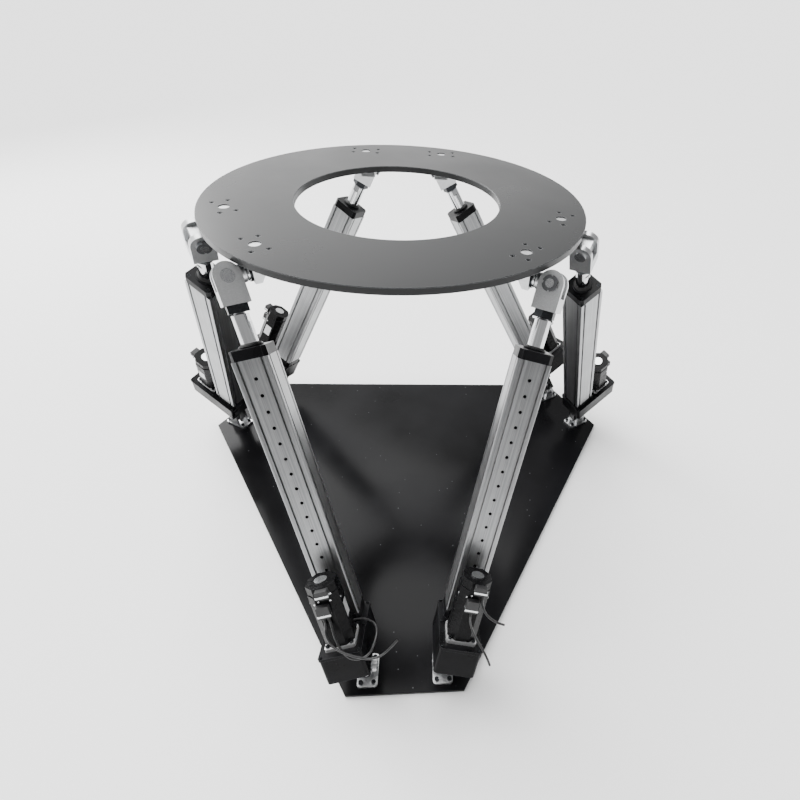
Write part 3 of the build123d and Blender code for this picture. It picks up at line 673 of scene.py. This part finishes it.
# Phosphated steel: a dull dark grey conversion coat, mottled every 5 mm.
phosphated = blank_material("phosphated_steel")
place = add_node(phosphated, "TexCoord", {}, "Object")
crystals = add_node(phosphated, "TexNoise", {"Vector": place, "Scale": 1 / (5 * MM), "Detail": 3.0})
crystal_tone = add_node(phosphated, "MixRGB", {
    "Fac": crystals, "Color1": linear("#595a5c"), "Color2": linear("#77787a")})
crystal_gloss = add_node(phosphated, "MapRange", {"Value": crystals, "To Min": 0.28, "To Max": 0.42})
crystal_shader = add_node(phosphated, "BsdfPrincipled", {
    "Base Color": crystal_tone, "Roughness": crystal_gloss, "Metallic": 1.0})
add_node(phosphated, "OutputMaterial", {"Surface": crystal_shader})


def cross_slot(x, y, z):
    """0 block, 1 pin and its head, 2 round nut."""
    reach = math.hypot(x, z)
    if y > FORK_FACE and reach > PIN_RADIUS:
        return 2
    on_pin = abs(y) > FORK_INNER and reach < PIN_RADIUS
    return 1 if abs(y) > FORK_FACE or on_pin else 0


for i in LEGS:
    give([f"upper_cross_{i}"], milled_aluminium, ground_steel, phosphated)
    nut_side = direction(f"head_pin_{i}") * NUT_SIDE[i]
    cross = axes(pivot(f"head_pin_{i}"), inward[i], inward[i].cross(nut_side))
    paint(f"upper_cross_{i}", cross, cross_slot)


# Ring brackets: milled aluminium under the ring, each with a black spacer and a bright thrust
# washer on the face that the cross's barrel turns against. Screws hold them from above.
WASHER_FACE = 46.9
BRACKET_FACE = 52.95
SPACER_REACH = 20.5
BRACKET_SHIFT = 76
COUNTERBORE_FLOOR = 51
RING_SCREW_RADIUS = 6.2
RING_SCREW_HEIGHT = 7.4
RING_SCREW_KEY = 6
bracket_at = {i: axes(pivot(f"head_pin_{i}"), inward[i], UP) for i in LEGS}
give(["ring_brackets"], milled_aluminium, black_oxide, zinc_plate)
into_bracket = [np.array(bracket_at[i].inverted()) for i in LEGS]
for face in nodes["ring_brackets"].data.polygons:
    centre = np.array([*face.center, 1.0])
    x, y, z = min(((m @ centre)[:3] / MM for m in into_bracket), key=lambda p: float(p @ p))
    turned_part = x < BRACKET_FACE and math.hypot(y, z) < SPACER_REACH
    face.material_index = (1 if x > WASHER_FACE else 2) if turned_part else 0


def ring_screws(mesh):
    """The four screws of one ring bracket, in the ring's counterbores."""
    for x in (BRACKET_SHIFT - BOLT_X, BRACKET_SHIFT + BOLT_X):
        for y in (-BOLT_Y, BOLT_Y):
            where = spot(x, y, COUNTERBORE_FLOOR)
            socket_screw(mesh, where, RING_SCREW_RADIUS, RING_SCREW_HEIGHT, RING_SCREW_KEY)


ring_screw_mesh = made("ring_screws", ring_screws, black_oxide)
for i in LEGS:
    fixed(f"ring_screws_{i}", ring_screw_mesh, bracket_at[i], "platform")


# Ring plate: turned from aluminium plate, drilled for the ring brackets' screws and spigots, and
# anodised satin black. It carries the load.

# Satin black anodising: smeared in patches a forearm long. Its grain is drawn 1.5 mm wide, coarser
# than it is. Its edges are painted bright: a painted highlight, and partly the film worn through.
ring_finish = blank_material("satin_black_anodised_plate")
place = add_node(ring_finish, "TexCoord", {}, "Object")
smears = add_node(ring_finish, "TexNoise", {"Vector": place, "Scale": 1 / (330 * MM), "Detail": 5.0})
handled = add_node(ring_finish, "MapRange", {"Value": smears, "From Min": 0.35, "From Max": 0.65})
rounded = add_node(ring_finish, "Bevel", {"Radius": 1.2 * MM}, samples=4)
flat = add_node(ring_finish, "NewGeometry", {}, "True Normal")
alike = add_node(ring_finish, "VectorMath", {0: rounded, 1: flat}, "Value", operation="DOT_PRODUCT")
# The bevel mask paints the edges bright: a painted highlight, partly bare metal worn through.
bare = add_node(ring_finish, "MapRange", {"Value": alike, "From Min": 0.985, "From Max": 0.86})
ring_tone = add_node(ring_finish, "MixRGB", {
    "Fac": handled, "Color1": linear("#101112"), "Color2": linear("#18191a")})
ring_colour = add_node(ring_finish, "MixRGB", {
    "Fac": bare, "Color1": ring_tone, "Color2": linear("#8f9193")})
ring_gloss = add_node(ring_finish, "MapRange", {"Value": handled, "To Min": 0.24, "To Max": 0.34})
pits = add_node(ring_finish, "TexNoise", {"Vector": place, "Scale": 1 / (1.5 * MM), "Detail": 2.0})
ring_bump = add_node(ring_finish, "Bump", {"Height": pits, "Strength": 0.08, "Distance": 0.1 * MM})
ring_shader = add_node(ring_finish, "BsdfPrincipled", {
    "Base Color": ring_colour, "Roughness": ring_gloss, "Normal": ring_bump, "IOR": 1.6,
    "Specular IOR Level": 0.16})
add_node(ring_finish, "OutputMaterial", {"Surface": ring_shader})
give(["ring_plate"], ring_finish)


# Motor cables: round, black, smooth-jacketed, 6 mm thick, clipped nowhere. They leave the
# connectors of the two front motors downward; their ends are bare or go back behind the motor.
# Each entry: leg, length in metres, far end, and the route in millimetres in the leg's frame.
CABLE_DIAMETER = 6 * MM
CABLES = {
    "power_cable_1": (1, 0.361, "object", [
        (148, 3, 295.9), (148, 3, 272), (163, 5, 240), (171, 12, 207), (176, 26, 180),
        (174, 48, 168), (165, 74, 170), (152, 89, 186), (128, 100, 202), (102, 94, 209),
        (78, 78, 206), (60, 58, 204), (53, 33, 204), (52, 10, 203)]),
    "encoder_cable_1": (1, 0.2626, "bare", [
        (148, -9, 295.9), (148, -9, 275), (157, -17, 250), (173, -5, 225), (184, 20, 206),
        (188, 50, 188), (187, 79, 172), (183, 105, 171), (176, 130, 181), (169, 154, 196)]),
    "power_cable_2": (2, 0.1644, "bare", [
        (148, 0, 295.9), (148, 0, 274), (150, 12, 248), (155, 30, 223), (163, 50, 203),
        (171, 68, 184), (175, 82, 162)]),
    "encoder_cable_2": (2, 0.1087, "bare", [
        (148, 18, 349.9), (148, 18, 333.4), (155, 24, 317), (163, 35, 305), (166, 50, 296),
        (169, 68, 290), (171, 87, 289)]),
}

# Boots: a grooved rubber sleeve tapers from each connector down to its cable.
BOOT_LENGTH = 15
BOOT_ROOT = 5.2
BOOT_TIP = 3.7
BOOT_GROOVES = 4
BOOT_GROOVE_DEPTH = 0.5
BOOT_GROOVE_EDGE = 0.3
BOOT_RIM = 0.5


def boot(mesh):
    """A tapered sleeve along local z with shallow grooves round it."""
    core = CABLE_DIAMETER / 2 / MM
    pitch = BOOT_LENGTH / (2 * BOOT_GROOVES + 1)
    section = [(core, 0, "round"), (BOOT_ROOT, 0, "round")]
    for step in range(1, 2 * BOOT_GROOVES + 1):
        z = step * pitch
        outer = BOOT_ROOT + (BOOT_TIP - BOOT_ROOT) * z / BOOT_LENGTH
        depth = BOOT_GROOVE_DEPTH if step % 2 else 0.0
        section.append((outer - depth, z - BOOT_GROOVE_EDGE, "round"))
        section.append((outer, z + BOOT_GROOVE_EDGE, "round"))
    section += [(BOOT_TIP, BOOT_LENGTH - BOOT_RIM, "round"), (core, BOOT_LENGTH, "round")]
    turned(mesh, section, Matrix())


# Soft PVC jacket: dark grey-black with a dull sheen, a little chalky in stretches of 8 mm.
jacket = blank_material("cable_jacket_pvc")
place = add_node(jacket, "TexCoord", {}, "Object")
chalk = add_node(jacket, "TexNoise", {"Vector": place, "Scale": 1 / (8 * MM), "Detail": 3.0})
jacket_tone = add_node(jacket, "MixRGB", {
    "Fac": chalk, "Color1": linear("#131314"), "Color2": linear("#2b2b2c")})
jacket_gloss = add_node(jacket, "MapRange", {"Value": chalk, "To Min": 0.24, "To Max": 0.40})
jacket_shader = add_node(jacket, "BsdfPrincipled", {
    "Base Color": jacket_tone, "Roughness": jacket_gloss, "IOR": 1.53})
add_node(jacket, "OutputMaterial", {"Surface": jacket_shader})

boot_mesh = made("cable_boot", boot, nitrile)
for name, (leg, length, far_end, route) in CABLES.items():
    curve = bpy.data.curves.new(name, "CURVE")
    curve.dimensions = "3D"
    curve.bevel_depth = CABLE_DIAMETER / 2
    curve.bevel_resolution = 5
    curve.use_fill_caps = True
    spline = curve.splines.new("NURBS")
    spline.points.add(len(route) - 1)
    places = [leg_at[leg] @ (Vector(p) * MM) for p in route]
    for control, centre in zip(spline.points, places):
        control.co = (*centre, 1.0)
    spline.order_u = 3
    spline.use_endpoint_u = True
    spline.resolution_u = 8
    curve.materials.append(jacket)
    cable = bpy.data.objects.new(name + "_jacket", curve)
    bpy.context.scene.collection.objects.link(cable)
    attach(cable, f"cylinder_{leg}")
    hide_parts(name)
    run = (places[1] - places[0]).normalized()
    across = direction(f"foot_pin_{leg}").cross(run).normalized()
    exit_place = axes(places[0], across, run)
    sleeve = fixed(name + "_boot", boot_mesh, exit_place, f"cylinder_{leg}")


# Studio: a pale floor, a room that is bright behind on the left and dim elsewhere, a window on
# that side and a wide ceiling light. The camera stands where the photograph was taken, in front
# of the first pair of legs.
FLOOR_HALF = 80.0
FLOOR_DROP = 0.5 * MM
BRIGHT_SIDE = (-0.70, 0.70, 0.10)
SUN_FROM = Vector((-0.25, 0.30, 1.0))

# The camera's angles in radians, its distance and target in metres, the rest in pixels.
CAMERA_AZIMUTH = -0.1290
CAMERA_ELEVATION = 0.7880
CAMERA_ROLL = 0.0850
CAMERA_DISTANCE = 2.69594
CAMERA_TARGET = Vector((0.320269, 0.444404, -0.338724))
FOCAL_PIXELS = 503.718
IMAGE_PIXELS = 800
AXIS_SHIFT = (75.17, 54.38)

# Matt white paper: it takes soft shadows and has no gloss; its tooth is 2 mm wide.
studio_paper = blank_material("studio_paper")
place = add_node(studio_paper, "TexCoord", {}, "Object")
tooth = add_node(studio_paper, "TexNoise", {"Vector": place, "Scale": 1 / (2 * MM)})
paper_tone = add_node(studio_paper, "MixRGB", {
    "Fac": tooth, "Color1": linear("#fafafa"), "Color2": linear("#ffffff")})
paper = add_node(studio_paper, "BsdfDiffuse", {"Color": paper_tone})
add_node(studio_paper, "OutputMaterial", {"Surface": paper})


def floor_sheet(mesh):
    """A square sheet just below the base plate."""
    side = FLOOR_HALF
    corners = ((-side, -side), (side, -side), (side, side), (-side, side))
    mesh.faces.new([mesh.verts.new((x, y, -FLOOR_DROP)) for x, y in corners])


floor = bpy.data.objects.new("floor", made("floor", floor_sheet, studio_paper))
bpy.context.scene.collection.objects.link(floor)

world = bpy.data.worlds.new("studio")
bpy.context.scene.world = world
world.use_nodes = True
world.node_tree.nodes.clear()
looking = add_node(world, "TexCoord", {}, "Generated")
toward = add_node(world, "VectorMath", {0: looking, 1: BRIGHT_SIDE}, "Value", operation="DOT_PRODUCT")
glow = add_node(world, "MapRange", {
    "Value": toward, "From Min": 0.25, "From Max": 0.85, "To Min": 0.45, "To Max": 2.8})
sky = add_node(world, "Background", {"Color": (1.0, 1.0, 1.0, 1.0), "Strength": glow})
add_node(world, "OutputWorld", {"Surface": sky})


def hang(name, data, place, toward):
    """A lamp at a place that shines in a direction."""
    lamp = bpy.data.objects.new(name, data)
    bpy.context.scene.collection.objects.link(lamp)
    lamp.location = place
    lamp.rotation_mode = "QUATERNION"
    lamp.rotation_quaternion = toward.to_track_quat("-Z", "Y")


# The window, 3 m wide, looks at the middle of the legs.
window = bpy.data.lights.new("window_light", "AREA")
window.shape = "RECTANGLE"
window.size = 3.0
window.size_y = 2.2
window.energy = 200.0
window_place = Vector((-3.4, 3.0, 3.0))
hang("window_light", window, window_place, Vector((0.0, 0.0, 0.6)) - window_place)

# A very wide, soft sun from above, leaning to the back left, lights floor and object evenly.
ceiling = bpy.data.lights.new("ceiling_light", "SUN")
ceiling.energy = 5.4
ceiling.angle = math.radians(60)
hang("ceiling_light", ceiling, (0.0, 0.0, 0.0), -SUN_FROM)

back = Vector((math.sin(CAMERA_AZIMUTH) * math.cos(CAMERA_ELEVATION),
               -math.cos(CAMERA_AZIMUTH) * math.cos(CAMERA_ELEVATION),
               math.sin(CAMERA_ELEVATION)))
level_right = (-back).cross(UP).normalized()
level_up = level_right.cross(-back)
camera_right = level_right * math.cos(CAMERA_ROLL) + level_up * math.sin(CAMERA_ROLL)
camera_data = bpy.data.cameras.new("camera")
camera_data.sensor_width = 36.0
camera_data.lens = FOCAL_PIXELS * camera_data.sensor_width / IMAGE_PIXELS
camera_data.shift_x = -AXIS_SHIFT[0] / IMAGE_PIXELS
camera_data.shift_y = AXIS_SHIFT[1] / IMAGE_PIXELS
camera_data.clip_end = 300.0
camera = bpy.data.objects.new("camera", camera_data)
bpy.context.scene.collection.objects.link(camera)
camera.matrix_world = axes(CAMERA_TARGET + back * CAMERA_DISTANCE, camera_right, back)
bpy.context.scene.camera = camera
